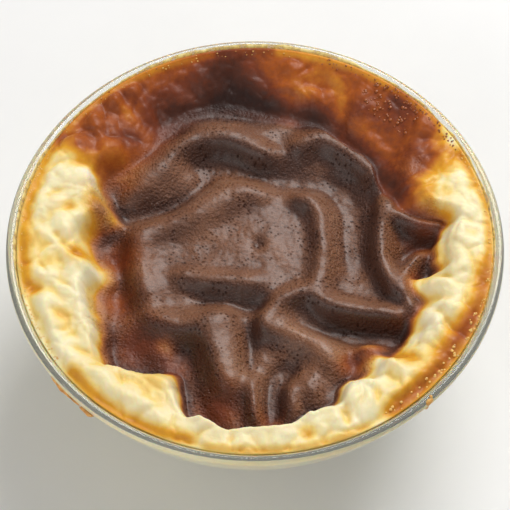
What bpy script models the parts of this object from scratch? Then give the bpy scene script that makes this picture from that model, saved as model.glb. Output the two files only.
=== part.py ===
"""Baked rice pudding in its round glass bowl.

Two solids: the turned glass bowl, and the pudding that fills it. The pudding's top is modelled as
baked: a puffed ring of curds against the glass, and inside it a sunken sheet of browned milk skin
that has shrunk into long folds. Tables are in millimetres, and heights are measured from the rim.
+Z is up and +Y is the back, where the browned skin runs up to the glass.
"""

import math

import bmesh
import bpy
import numpy as np

MM = 0.001

# Glass bowl
RIM_RADIUS = 60.0
BOWL_HEIGHT = 46.0
WALL = 2.4
BASE_THICKNESS = 4.0
WALL_CURVE = 86.0  # radius of the wall's arc, seen from the side
WALL_LEAN = 15.6  # degrees from upright at the rim
FOOT_CURVE = 10.0  # radius of the corner between wall and base
WALL_STEPS = 7
FOOT_STEPS = 3
RIM_STEPS = 4
TURN_STEPS = 64

# Pudding
FIT_GAP = 0.3  # clearance to the glass
TOP_CELLS = 60  # grid cells across the top
SIDE_LEVELS = (36.0, 25.0, 14.0, 7.5)  # heights above the table where the side is sampled
EDGE_DROP_FRONT = 0.8  # from the rim down to the pudding's edge
EDGE_DROP_BACK = 0.3

# Outline of the sunken skin: a circle, and its lobes as (angle, reach, half width in degrees)
SKIN_RADIUS = 40.0
SKIN_LOBES = (
    (10, 7.0, 4.5),
    (27, -2.8, 8.0),
    (102, 4.5, 12.0),
    (144, 7.0, 9.0),
    (163, -6.0, 5.0),
    (184, -4.0, 5.0),
    (224, 3.0, 10.0),
    (240, -4.0, 4.0),
    (267, 8.0, 17.0),
    (292, 3.5, 8.0),
    (311, -7.5, 5.0),
    (332, 2.0, 8.0),
)

SKIN_BLEND = (-1.6, 1.0)  # inside and outside its edge, where the skin's height passes into the ring's

# Ring of curds between the skin and the glass. Shares of its width run from the skin to the glass.
RING_CROWN = 0.2  # above the rim
RING_FOOT = -5.5  # where its inner face meets the skin
RING_FACE = 0.3  # share taken by that face
RING_SHOULDER = 0.75  # share where it starts to fall to the glass
CURDS_RISE = (0.02, 0.3)  # shares over which curds and folds come in, and go out again
CURDS_FALL = (0.82, 1.0)

# Browned slope at the back
BACK_FOOT = -8.2
BACK_CENTRE = 80.0  # middle angle and half width, in degrees
BACK_SPREAD = 52.0
BACK_BLEND = 14.0
BACK_ROUNDING = 0.85  # 1 is a straight slope

# The sunken skin
FLOOR = -8.8
PLATEAU = (-2.0, 4.0, 22.0, 1.8)  # x, y, radius, height above the floor
CREST_LIMIT = 4.9  # no fold stands higher above the floor
FURROW_LIMIT = 1.5  # and no furrow goes deeper below it
PATH_STEPS = 5

# Folds of the skin: height, half width, and the path of the crest
FOLDS = (
    ("back roll", 4.6, 3.0, ((-19, 34), (-12, 36.5), (-3, 34.5), (7, 31), (14, 34.5), (23, 29.5), (31, 22))),
    ("back shelf", 2.6, 3.2, ((-22, 34), (-14, 40), (0, 40.5), (12, 36))),
    ("east shoulder", 4.2, 2.8, ((30, 24), (33, 17), (37, 12), (45, 10))),
    ("north-west spur", 3.0, 2.6, ((-20, 33), (-19, 27), (-19, 20))),
    ("far west roll", 3.0, 3.0, ((-36, 28), (-29, 23), (-26, 17))),
    ("diagonal", 2.4, 4.0, ((-26, 6), (-15, 13), (-4, 22), (8, 18))),
    ("west ridge", 3.9, 3.2, ((-29, 9), (-26, 2), (-25, -7), (-22, -14))),
    ("west lip", 2.6, 2.6, ((-38, -2), (-36, -11), (-37, -20))),
    ("middle bench", 2.0, 2.4, ((-21, -3), (-10, -5), (1, -5))),
    ("lower bench", 3.2, 2.8, ((-26, -16), (-17, -18), (-8, -14))),
    ("tongue", 3.8, 4.0, ((-7, -14), (-6.5, -23), (-5, -34), (-3, -44))),
    ("east bench", 2.8, 2.4, ((10, 18), (17, 16), (15, 7), (16, 0), (14, -8), (19, -13))),
    ("east bank", 2.2, 2.6, ((21, 15), (20, 2), (21, -6), (28, -12))),
    ("south-east roll", 4.2, 2.6, ((18, -13), (27, -15), (37, -17))),
    ("saddle", 3.4, 2.4, ((14, -9), (7, -13), (2, -18), (3, -26))),
    ("south-east plateau", 4.2, 3.6, ((5, -18), (13, -20.5), (18, -26), (20, -33))),
    ("front rib", 3.4, 2.4, ((12, -30), (13, -41))),
    ("front lip", 2.8, 2.0, ((3, -35), (2, -46))),
    ("east rib", 3.8, 2.0, ((31, 8), (30, 0), (33, -11))),
    ("east edge", 3.4, 1.8, ((42, 4), (36.5, -3), (36, -10), (38, -16))),
)

# Furrows pressed into the skin: depth, half width, and the path of the bottom
FURROWS = (
    ("under the back roll", 2.2, 3.4, ((-16, 29), (-4, 27.5), (7, 24), (17, 25))),
    ("east furrow", 3.4, 3.4, ((20, 25), (26, 17), (27.5, 4), (26.5, -7))),
    ("spike furrow", 2.6, 1.8, ((44, 7), (38, 4), (33, 0))),
    ("diagonal furrow", 2.2, 2.4, ((-30, 11), (-22, 15), (-16, 22))),
    ("middle furrow", 2.0, 2.6, ((-14, -9), (-4, -10), (6, -12))),
    ("west furrow", 0.8, 3.0, ((-31, -1), (-31, -14))),
    ("south-west hollow", 2.0, 5.0, ((-31, -20), (-24, -25), (-18, -34))),
    ("beside the tongue", 2.4, 2.6, ((-14, -23), (-14, -31), (-11, -42))),
    ("centre furrow", 1.2, 2.4, ((0, -18), (-1, -30))),
    ("front trough", 3.4, 2.2, ((9, -27), (5.5, -31), (5, -45))),
    ("long furrow", 2.6, 2.6, ((7, -15), (19, -19.5), (33, -22))),
)

# Folds of the ring and of the browned slope: height, half width and path
RING_FOLDS = (
    ("outer ridge", 1.0, 2.8, ((-51, -12), (-46, -28), (-35, -38), (-24, -44), (-12, -48))),
    ("flap", 1.3, 1.8, ((-37, -30), (-34, -34), (-26, -35), (-20, -35), (-17, -43))),
    ("left slope", 1.2, 2.2, ((-33, 44), (-25, 37))),
    ("dark slope", 1.4, 2.2, ((-17, 53), (-12, 47))),
    ("middle slope", 1.6, 3.0, ((4, 47), (10, 45), (18, 46))),
    ("right slope", 1.8, 3.4, ((27, 45), (24, 34))),
    ("far right slope", 1.8, 3.2, ((42, 35), (38, 19))),
)

# Curds of the ring: x, y, radius and height
CURDS = (
    (-44, 26.5, 4.5, 1.2),
    (-49, 19.5, 3.2, 0.9),
    (-41.5, 15.5, 5.5, 1.6),
    (-50, 10.5, 4.2, 1.3),
    (-45, 4.5, 4.5, 1.3),
    (-51, -3, 4.0, 1.1),
    (-42, -6.5, 4.8, 1.5),
    (-48, -13, 4.2, 1.2),
    (-41, -15, 4.6, 1.3),
    (-43, -23, 4.8, 1.2),
    (-37, -28, 4.0, 1.0),
    (-13, -48.5, 4.0, 1.0),
    (-5, -50.5, 3.6, 0.9),
    (3, -49.5, 3.6, 1.0),
    (10, -46, 4.4, 1.5),
    (17, -46, 3.6, 1.3),
    (23.5, -38.5, 5.5, 2.0),
    (29, -43, 3.8, 1.2),
    (33, -34, 4.0, 1.4),
    (27, -27.5, 4.0, 1.2),
    (41.5, -22, 5.2, 1.8),
    (46, -12, 4.4, 1.2),
    (47.5, -4, 4.2, 1.5),
    (47.5, 2.5, 4.0, 1.2),
    (51, 11, 4.6, 1.1),
    (49, 19, 4.4, 1.0),
    (-36, 36, 4.2, 1.4),
    (13, 51, 4.5, 1.2),
    (36, 43, 3.6, 1.0),
)


def clear_scene():
    for old in list(bpy.data.objects):
        bpy.data.objects.remove(old, do_unlink=True)


def new_collection(name):
    collection = bpy.data.collections.new(name)
    bpy.context.scene.collection.children.link(collection)
    return collection


def material(name, colour, roughness, transmission=0.0):
    made = bpy.data.materials.new(name)
    made.use_nodes = True
    shader = made.node_tree.nodes["Principled BSDF"]
    shader.inputs["Base Color"].default_value = (*colour, 1.0)
    shader.inputs["Roughness"].default_value = roughness
    shader.inputs["Metallic"].default_value = 0.0
    shader.inputs["Transmission Weight"].default_value = transmission
    return made


def smoothstep(low, high, value):
    t = np.clip((value - low) / (high - low), 0.0, 1.0)
    return t * t * (3.0 - 2.0 * t)


def turned_from(centre, angle):
    """Difference between two bearings in degrees, from -180 to 180."""
    return (angle - centre + 180.0) % 360.0 - 180.0


# ---------------------------------------------------------------- bowl


def wall_points():
    """(lean, radius, height) along the bowl's outer face, from the rim down to the flat base."""
    lean_top = math.radians(WALL_LEAN)
    axis_r = RIM_RADIUS - WALL_CURVE * math.cos(lean_top)
    axis_z = BOWL_HEIGHT + WALL_CURVE * math.sin(lean_top)
    lean_foot = math.asin((axis_z - FOOT_CURVE) / (WALL_CURVE - FOOT_CURVE))
    points = []
    for lean in np.linspace(lean_top, lean_foot, WALL_STEPS + 1):
        points.append((lean, axis_r + WALL_CURVE * math.cos(lean), axis_z - WALL_CURVE * math.sin(lean)))
    foot_r = points[-1][1] - FOOT_CURVE * math.cos(lean_foot)
    for lean in np.linspace(lean_foot, math.pi / 2, FOOT_STEPS + 1)[1:]:
        points.append((lean, foot_r + FOOT_CURVE * math.cos(lean), FOOT_CURVE * (1.0 - math.sin(lean))))
    return points


def wall_thickness(lean):
    """The glass thickens from the wall towards the base."""
    share = (lean - math.radians(WALL_LEAN)) / (math.pi / 2 - math.radians(WALL_LEAN))
    return WALL + (BASE_THICKNESS - WALL) * share**2


def inner_points(gap=0.0):
    """(radius, height) along the inner face, from the rim down, moved inwards by gap."""
    found = []
    for lean, radius, height in wall_points():
        depth = wall_thickness(lean) + gap
        found.append((radius - depth * math.cos(lean), height + depth * math.sin(lean)))
    return found


def bowl_profile():
    """Half section, from the middle of the floor up the inner face, over the rim and down the outer face."""
    outer = [(radius, height) for _, radius, height in wall_points()]
    lean = math.radians(WALL_LEAN)
    rounding = WALL / 2
    middle_r = RIM_RADIUS - rounding * math.cos(lean)
    middle_z = BOWL_HEIGHT - rounding
    rim = []
    for turn in np.linspace(math.pi - lean, -lean, RIM_STEPS + 1):
        rim.append((middle_r + rounding * math.cos(turn), middle_z + rounding * math.sin(turn)))
    inner = [p for p in inner_points() if p[1] < rim[0][1] - rounding]
    outer = [p for p in outer if p[1] < rim[-1][1] - rounding]
    return [(0.0, BASE_THICKNESS), *reversed(inner), *rim, *outer, (0.0, 0.0)]


def make_bowl(collection):
    mesh = bpy.data.meshes.new("glass_bowl")
    points = [(r * MM, 0.0, z * MM) for r, z in bowl_profile()]
    mesh.from_pydata(points, [(i, i + 1) for i in range(len(points) - 1)], [])
    bowl = bpy.data.objects.new("glass_bowl", mesh)
    collection.objects.link(bowl)
    turn = bowl.modifiers.new("Turn", "SCREW")
    turn.axis = "Z"
    turn.steps = turn.render_steps = TURN_STEPS
    turn.use_merge_vertices = True
    turn.merge_threshold = 0.00001
    turn.use_smooth_shade = True
    mesh.materials.append(material("clear glass", (0.93, 0.96, 0.94), 0.03, transmission=1.0))
    return bowl


# ---------------------------------------------------------------- pudding


def smooth_path(points):
    """Catmull-Rom curve through the points."""
    p = np.array([points[0], *points, points[-1]], float)
    curve = []
    for a, b, c, d in zip(p, p[1:], p[2:], p[3:]):
        for t in np.arange(PATH_STEPS) / PATH_STEPS:
            curve.append(
                0.5 * (2 * b + (c - a) * t + (2 * a - 5 * b + 4 * c - d) * t**2 + (3 * b - a - 3 * c + d) * t**3)
            )
    return np.array([*curve, p[-1]])


def swell(x, y, height, width, points):
    """A rounded ridge of the given height and half width along a smooth path, with soft ends."""
    path = smooth_path(points)
    middles = (path[1:] + path[:-1]) / 2
    lengths = np.hypot(*(path[1:] - path[:-1]).T)
    total = np.zeros(np.shape(x))
    for (px, py), length in zip(middles, lengths):
        total += length * np.exp(-((x - px) ** 2 + (y - py) ** 2) / width**2)
    return height * total / (width * math.sqrt(math.pi))


def skin_reach(angle):
    """Distance from the bowl's axis to the skin's edge, at a bearing in degrees."""
    reach = np.full(np.shape(angle), SKIN_RADIUS)
    for centre, height, half_width in SKIN_LOBES:
        reach = reach + height * np.exp(-((turned_from(centre, angle) / half_width) ** 2))
    return reach


def backness(angle):
    """1 on the browned slope at the back, 0 on the pale ring."""
    off = np.abs(turned_from(BACK_CENTRE, angle))
    return 1.0 - smoothstep(BACK_SPREAD - BACK_BLEND, BACK_SPREAD + BACK_BLEND, off)


def limited(value, limit):
    """Follows value, and levels off softly below limit."""
    return value / (1.0 + np.clip(value / limit, 0.0, None) ** 4) ** 0.25


def skin_height(x, y):
    px, py, p_radius, p_height = PLATEAU
    relief = p_height * np.exp(-(np.hypot(x - px, y - py) / p_radius) ** 4)
    for _, height, width, points in FOLDS:
        relief = relief + swell(x, y, height, width, points)
    for _, depth, width, points in FURROWS:
        relief = relief - swell(x, y, depth, width, points)
    return FLOOR - limited(-limited(relief, CREST_LIMIT), FURROW_LIMIT)


def ring_height(x, y, share, angle):
    """share runs from 0 at the skin's edge to 1 at the glass."""
    share = np.clip(share, 0.0, 1.0)
    at_back = backness(angle)
    edge_drop = EDGE_DROP_FRONT + (EDGE_DROP_BACK - EDGE_DROP_FRONT) * at_back
    face = smoothstep(0.0, RING_FACE, share)
    shoulder = smoothstep(RING_SHOULDER, 1.0, share) * (RING_CROWN + edge_drop)
    front = RING_FOOT + (RING_CROWN - RING_FOOT) * face - shoulder
    back = BACK_FOOT + (-edge_drop - BACK_FOOT) * share**BACK_ROUNDING
    relief = np.zeros(np.shape(x))
    for cx, cy, radius, rise in CURDS:
        relief = relief + rise * np.exp(-((np.hypot(x - cx, y - cy) / radius) ** 4))
    for _, rise, width, points in RING_FOLDS:
        relief = relief + swell(x, y, rise, width, points)
    fade = smoothstep(*CURDS_RISE, share) * (1.0 - smoothstep(*CURDS_FALL, share))
    return front + (back - front) * at_back + fade * relief


def top_height(x, y, edge_radius):
    """Height of the pudding's top above the rim, in millimetres."""
    radius = np.hypot(x, y)
    angle = np.degrees(np.arctan2(y, x))
    reach = skin_reach(angle)
    share = (radius - reach) / (edge_radius - reach)
    inside = 1.0 - smoothstep(*SKIN_BLEND, radius - reach)
    ring = ring_height(x, y, share, angle)
    return ring + (skin_height(x, y) - ring) * inside


def disc_point(u, v):
    """Maps a point of the square from -1 to 1 onto the unit disc, with cells of even size."""
    if u == 0.0 and v == 0.0:
        return 0.0, 0.0
    if abs(u) > abs(v):
        radius, angle = u, math.pi / 4 * (v / u)
    else:
        radius, angle = v, math.pi / 2 - math.pi / 4 * (u / v)
    return radius * math.cos(angle), radius * math.sin(angle)


def side_radius(height):
    """Radius of the pudding's side at a height above the table."""
    radii, heights = zip(*reversed(inner_points(FIT_GAP)))
    return float(np.interp(height, heights, radii))


def make_pudding(collection):
    pudding_bm = bmesh.new()
    bmesh.ops.create_grid(pudding_bm, x_segments=TOP_CELLS, y_segments=TOP_CELLS, size=1.0)
    edge_radius = side_radius(BOWL_HEIGHT - EDGE_DROP_FRONT)
    flat = np.array([disc_point(v.co.x, v.co.y) for v in pudding_bm.verts]) * edge_radius
    heights = top_height(flat[:, 0], flat[:, 1], edge_radius)
    for vert, (x, y), height in zip(pudding_bm.verts, flat, heights):
        vert.co = (x * MM, y * MM, (BOWL_HEIGHT + height) * MM)
    top_faces = list(pudding_bm.faces)

    rim_edges = [e for e in pudding_bm.edges if e.is_boundary]
    floor_height = BASE_THICKNESS + FIT_GAP
    for level in (*SIDE_LEVELS, floor_height):
        made = bmesh.ops.extrude_edge_only(pudding_bm, edges=rim_edges)["geom"]
        rim_edges = [g for g in made if isinstance(g, bmesh.types.BMEdge) and g.is_boundary]
        radius = side_radius(level)
        for vert in {v for e in rim_edges for v in e.verts}:
            scale = radius * MM / math.hypot(vert.co.x, vert.co.y)
            vert.co = (vert.co.x * scale, vert.co.y * scale, level * MM)
    bmesh.ops.contextual_create(pudding_bm, geom=rim_edges)
    bmesh.ops.recalc_face_normals(pudding_bm, faces=list(pudding_bm.faces))

    for face in pudding_bm.faces:
        face.smooth = True
    for face in top_faces:
        centre = face.calc_center_median() / MM
        angle = math.degrees(math.atan2(centre.y, centre.x))
        browned = math.hypot(centre.x, centre.y) < skin_reach(angle) or backness(angle) > 0.5
        face.material_index = int(browned)
    bmesh.ops.triangulate(pudding_bm, faces=top_faces, quad_method="SHORT_EDGE")

    mesh = bpy.data.meshes.new("pudding")
    pudding_bm.to_mesh(mesh)
    pudding_bm.free()
    mesh.materials.append(material("baked rice cream", (0.86, 0.68, 0.36), 0.35))
    mesh.materials.append(material("browned milk skin", (0.115, 0.042, 0.020), 0.35))
    pudding = bpy.data.objects.new("pudding", mesh)
    collection.objects.link(pudding)
    return pudding


def main():
    clear_scene()
    collection = new_collection("rice_pudding")
    make_bowl(collection)
    make_pudding(collection)


main()
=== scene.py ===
"""Rice pudding baked in a round clear glass bowl.

Builds the turned glass, the pudding with its puffed pale ring and its sunken browned milk skin, the
sugar beads and milk film where the pudding meets the glass, the drips baked onto the outside, and a
pale stage. Tables are in millimetres, and heights in them are measured from the bowl's rim. +Z is up
and +Y is the back, where the browned skin runs up to the glass. Browning runs from 0, raw cream, over
gold, amber and mahogany to 1, nearly black.
"""

import math
import random

import bmesh
import bpy
import numpy as np
from mathutils import Matrix, Vector, noise


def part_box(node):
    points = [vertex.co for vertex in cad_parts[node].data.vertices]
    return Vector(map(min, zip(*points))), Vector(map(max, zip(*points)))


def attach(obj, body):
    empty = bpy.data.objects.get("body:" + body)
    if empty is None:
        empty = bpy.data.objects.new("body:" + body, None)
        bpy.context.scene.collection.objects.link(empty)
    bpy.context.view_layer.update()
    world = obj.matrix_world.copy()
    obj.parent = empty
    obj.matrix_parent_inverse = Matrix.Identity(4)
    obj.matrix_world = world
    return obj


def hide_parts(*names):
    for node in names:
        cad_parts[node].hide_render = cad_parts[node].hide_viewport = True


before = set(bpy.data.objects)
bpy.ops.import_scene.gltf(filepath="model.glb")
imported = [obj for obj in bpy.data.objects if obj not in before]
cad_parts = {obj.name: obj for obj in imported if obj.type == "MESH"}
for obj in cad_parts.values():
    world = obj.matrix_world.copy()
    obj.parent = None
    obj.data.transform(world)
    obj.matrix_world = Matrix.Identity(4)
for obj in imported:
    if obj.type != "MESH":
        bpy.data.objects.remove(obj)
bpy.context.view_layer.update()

bl_info = {
    "name": "Rice pudding in a glass bowl",
    "version": (1, 0, 0),
    "blender": (4, 5, 0),
    "location": "View3D > Sidebar > Rice Pudding",
    "description": "Builds a baked rice pudding in its glass bowl, one piece at a time",
    "category": "Add Mesh",
}

MM = 0.001

# Glass bowl
RIM_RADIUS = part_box("glass_bowl")[1].x / MM
BOWL_HEIGHT = 46.0
WALL = 2.4
BASE_THICKNESS = 4.0
WALL_CURVE = 86.0
WALL_LEAN = 15.6
FOOT_CURVE = 10.0
WALL_STEPS = 24
FOOT_STEPS = 9
RIM_STEPS = 12

# Pudding
CONTACT = 0.12  # how far the pudding reaches into the glass, so that no air gap shows
SIDE_LEVELS = (42.0, 37.0, 31.0, 25.0, 19.0, 13.5, 9.0, 6.0)
EDGE_DROP_FRONT = 0.8
EDGE_DROP_BACK = 0.3
EDGE_LIP = (0.35, 0.9)  # height and width of the milk film drawn up at the glass

# Edge of the skin: bearing and distance from the bowl's axis
SKIN_EDGE = (
    (2.5, 44), (7, 45.4), (10.5, 46.6), (13, 43.6), (16.5, 39), (24, 36.8), (30, 36.2), (36, 37),
    (42, 39.4), (50, 39.2), (58, 39.4), (66, 41), (74, 40.2), (82, 40.4), (90, 41.8), (98, 43.8),
    (106, 44.6), (114, 43.2), (122, 41.2), (130, 39.4), (138, 39), (145, 40.8), (150, 42.2),
    (154, 41.2), (157, 39.4), (161, 36.6), (165, 34.6), (168, 36), (173, 39.2), (180, 38.6),
    (186, 36.4), (190, 36), (195, 39), (202, 40.4), (210, 42), (217, 45.4), (222, 46.6), (227, 44.4),
    (233, 41.6), (238, 39.2), (242, 39.2), (246, 43), (250, 47.6), (256, 48), (263, 49.6), (270, 48.6),
    (277, 48.8), (284, 46.4), (291, 46), (295, 45.2), (298, 42.6), (302, 41.8), (305, 42.4), (308, 43),
    (311, 42), (315, 41.2), (318, 42.8), (323, 43.4), (330, 43), (335, 41.8), (339, 42.3),
    (341.5, 42.6), (344, 40.4), (346.5, 38.9), (349, 39.4), (351, 42), (353, 44), (357, 43.4),
)
SKIN_BLEND = (-1.7, 1.0)  # where the relief changes over, measured outwards from the edge
SKIN_TINT = (-1.4, 1.2, 0.6)  # the same for the colour, and how much farther out it ends at the back
# Where the skin's edge is softer, or sharper if negative: bearing, half width, more inwards, more
# outwards, and how far the skin's colour runs over it
SOFT_EDGES = (
    (134, 26, 4.5, 2.5, 3.6), (192, 26, 2.8, 0.4, 0.8), (240, 18, 1.2, 0.3, 0.4),
    (312, 7, 3.6, 0.2, 0.4), (340, 16, 1, 0.7, 1), (44, 24, -1, -0.6, 0),
)

# Ring and browned slope; shares run from 0 at the skin's edge to 1 at the glass
RING_CROWN = 0.2
RING_FOOT = -5.2
LOW_FOOT = (192.0, 26.0, 2.6)  # where the ring's foot is lower: bearing, half width and depth
RING_FACE = 0.3
GENTLE_FACE = (342.0, 32.0, 0.24)  # where the ring rises gently: bearing, half width and extra share
RING_SHOULDER = 0.75
CURDS_RISE = (0.02, 0.3)
CURDS_FALL = (0.82, 1.0)
LUMPS_RISE = (0.0, 0.25)
LUMPS_FALL = (0.9, 1.0)
LUMPS_CALMED = 0.4  # by how much the lumps are lower on the browned slope

BACK_FOOT = -7.9
BACK_CENTRE = 80.0
BACK_SPREAD = 52.0
BACK_BLEND = 14.0
BACK_ROUNDING = 0.12

# Noise: strength, size of its lumps and seed
EDGE_WAVER = (0.5, 4.0, 3.1)
LARGE_LUMPS = (1.0, 8.0, 5.7)
SMALL_LUMPS = (0.2, 3.2, 1.3)
ROUGH_LUMPS = (0.3, 3.6, 8.2)
BROAD_WRINKLES = (0.28, 5.5, 2.9)
SHARP_WRINKLES = (0.1, 2.2, 5.3)
FINE_WRINKLES = (0.07, 0.9, 6.4)
BAND_WAVER = (5.0, 9.0, 4.4)
BAND_FRAY = (2.0, 2.6, 7.7)
FRINGE_WAVER = (0.8, 7.0, 9.1)

# Skin
FLOOR = -8.8
PLATEAU = (-4.0, 3.0, 19.0, 2.0)  # x, y, radius and height
CREST_LIMIT = 5.2
# How far the folds lean over per millimetre of height, the height that stays, and the way they lean
LEAN = (0.3, 4.2, 0.77, 0.64)
FURROW_LIMIT = 1.6
PATH_SPACING = 0.7  # of a ridge's half width

# Folds of the skin: height, half width, and the path of the crest
FOLDS = {
    "back roll, left": (5, 3.4, ((-21, 30), (-12, 34), (-5, 33.5), (0, 30.5), (5, 28.5))),
    "back roll, right": (
        5,
        3.4,
        ((9, 30), (13, 33), (17, 34.5), (20, 32), (25, 27.5), (30, 23), (31.5, 18)),
    ),
    "back shelf": (1.6, 3.4, ((-18, 37), (0, 36), (10, 37))),
    "east shoulder": (4.8, 2.8, ((31.5, 15.5), (34.5, 11.4), (39.6, 8.4), (48, 6.8))),
    "north-west rise": (3.8, 5, ((-31, 20), (-26, 24), (-21, 29))),
    "north-west brow": (1.6, 3, ((-33, 17), (-29, 18), (-25, 20.5))),
    "north-west spur": (2, 4.6, ((-24, 30), (-22.5, 25.5), (-21, 22))),
    "diagonal": (3.2, 3.8, ((-29, 5), (-20, 8.5), (-12, 12.5), (-6, 17), (2, 18))),
    "diagonal apron": (1.2, 4.2, ((-16, 12.5), (-10, 16.5), (-3, 20.5))),
    "west ridge": (3.4, 3.6, ((-29, 7), (-28.5, 0), (-27.5, -8), (-25, -14))),
    "west apron": (0.8, 3.6, ((-24, 3), (-23.5, -4), (-21.5, -10))),
    "middle bench": (2.4, 2.8, ((-20, -6), (-10, -8), (2, -8.5))),
    "lower bench": (3.6, 3.6, ((-27, -17), (-18, -20), (-11, -19))),
    "tongue": (4.4, 3.8, ((-8, -15.5), (-10.5, -21), (-9.5, -27), (-7.5, -33), (-6, -38))),
    "tongue apron": (1.8, 3.4, ((-6, -19), (-5, -26), (-3.5, -33))),
    "east bench": (3.8, 3, ((9, 17), (14.5, 14.5), (16, 8), (16.5, 0), (15.5, -6), (14.5, -10))),
    "south-east roll": (4.8, 3, ((14, -12), (20, -15), (28, -16.5), (36, -17.5))),
    "saddle": (4, 2.8, ((13, -10), (7, -12.5), (3, -16), (1.5, -22))),
    "south-east plateau": (4.4, 4.2, ((4, -20), (11, -22.5), (16, -26), (18.5, -32))),
    "front plateau": (3, 3.6, ((12, -33), (13, -40))),
    "front rib": (2.4, 2.2, ((8, -36), (8, -44))),
    "front lip": (2.8, 2.4, ((-1, -34), (-0.5, -40), (0, -46))),
    "east rib": (4.8, 2.6, ((31.5, 14), (30.5, 6), (30.5, 0), (32, -6), (34.5, -12))),
    "orange lump": (4.6, 2.6, ((24.5, -26.5), (30, -27.5))),
    "east edge": (3.6, 2, ((40.5, 1), (37, -4), (35.7, -8), (36.5, -13), (38, -17))),
}

# Furrows pressed into the skin: depth, half width, and the path of the bottom
FURROWS = {
    "under the back roll": (1.8, 3.4, ((-17, 28), (-8, 26.5), (0, 24), (8, 22.5), (17, 22))),
    "east furrow": (2.6, 3.2, ((18, 23), (22, 19), (23.5, 13), (23.5, 4), (25, -5))),
    "spike furrow": (1.6, 2.2, ((44, 5.2), (39, 2.6), (33.5, -1))),
    "diagonal furrow": (2, 2.4, ((-35, 11.5), (-27, 13), (-20, 15.5), (-14, 20.5), (-11, 25))),
    "middle furrow": (2, 2.6, ((-14, -11.5), (-5, -13), (4, -14))),
    "west furrow": (1.2, 2.8, ((-34, 2), (-33, -6), (-32, -16))),
    "south-west hollow": (2.6, 5, ((-35, -23), (-29, -30), (-22, -36))),
    "beside the tongue": (2.4, 3, ((-17, -24), (-16.5, -32), (-13, -44), (-8, -47))),
    "centre furrow": (1.4, 2.2, ((-1.6, -19), (-1.4, -25), (-1.6, -32))),
    "front trough": (2.8, 2.4, ((9, -30), (4.5, -34), (3.5, -45))),
    "long furrow": (2.8, 2.8, ((9, -18), (16, -20.5), (25, -21.5), (35, -22.5))),
    "centre crater": (1.2, 1.6, ((0.5, 5), (1, 2))),
}

# Folds of the ring and of the browned slope: height, half width and path
RING_FOLDS = {
    "left crest": (1.1, 1.5, ((-54.3, 2.3), (-49.4, 1.1), (-45.4, -3.4), (-42.5, -5.1), (-36.7, -6.8))),
    "left thin fold": (0.35, 0.7, ((-52, -6), (-51.6, -4.3), (-50, -3.1), (-48.6, -2.3))),
    "left lower crest": (0.7, 1.4, ((-51.4, -9.4), (-49, -10.5), (-46.5, -12.7), (-45.4, -15.2))),
    "left inner crest": (0.8, 1.4, ((-42, -17.5), (-39.1, -19.7), (-37.4, -22.4), (-35.8, -25.7))),
    "outer ridge": (
        1.2,
        2.2,
        ((-50.5, -16), (-48.4, -24), (-43.4, -32.5), (-38.5, -37.5), (-28, -43.5), (-21, -49)),
    ),
    "inner front crest": (0.9, 1.4, ((-38.5, -23.3), (-37, -26), (-35, -29), (-32.4, -31.5))),
    "flap": (1.2, 1.2, ((-34.4, -33.1), (-25.5, -34.4), (-19.4, -34.7), (-17.9, -38), (-17.2, -43.5))),
    "front middle crest": (0.7, 1.3, ((-15, -48), (-11.6, -48.5), (-8.5, -50.9), (-6.9, -53.3))),
    "front crest": (0.6, 1.2, ((-5.8, -51.2), (-1.6, -50.6), (2.5, -50.9), (9.9, -49.1))),
    "front right crest": (0.8, 1.3, ((10.4, -47.8), (13.9, -45.9), (17.4, -45.4), (20.1, -49.9))),
    "big lump crest": (0.8, 1.3, ((21.2, -40.3), (22.6, -37.9), (24.7, -37.1), (26.8, -39), (28.1, -41.4))),
    "horseshoe": (1.4, 1.4, ((30.2, -32), (33.9, -35.5), (35.5, -37.9), (34.9, -40.6), (29.3, -43.3))),
    "right point": (1.1, 1.3, ((39.2, -18), (41.8, -16.9), (45.1, -17.7), (47.4, -19.7))),
    "right face crest": (0.8, 1.2, ((42.4, -21.3), (43.2, -23.8), (44.3, -26.6))),
    "right spur": (0.9, 1.5, ((40.3, -11.1), (43.2, -10.5), (46.5, -11.3))),
    "back left slope a": (1.1, 1.6, ((-41.1, 37.6), (-39.5, 34.6), (-38.4, 31.8))),
    "back left slope b": (1.1, 1.6, ((-36.8, 44), (-35.2, 42.2), (-33.7, 39.4))),
    "back left slope c": (1.2, 1.6, ((-31.8, 46.2), (-29.3, 43.7), (-27, 41), (-25.7, 38.5))),
    "back left slope d": (0.8, 1.4, ((-33.2, 40.8), (-31.4, 38), (-29.6, 36.5))),
    "dark slope": (1.4, 2, ((-15, 52.5), (-12.8, 49.1), (-11.8, 46.9))),
    "middle slope": (1.7, 2.4, ((4, 46), (7.5, 47.5), (14.1, 45.4), (18, 44))),
    "upper middle slope": (0.9, 2, ((7.6, 53.3), (9.8, 51.4), (10.8, 48.3))),
    "right slope": (1.9, 2.8, ((27.5, 46), (25.3, 40.2), (24.5, 34.5))),
    "far right slope": (1.6, 2.6, ((43, 37), (40.3, 33.4), (38.9, 28.6), (37.7, 21))),
}

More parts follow.
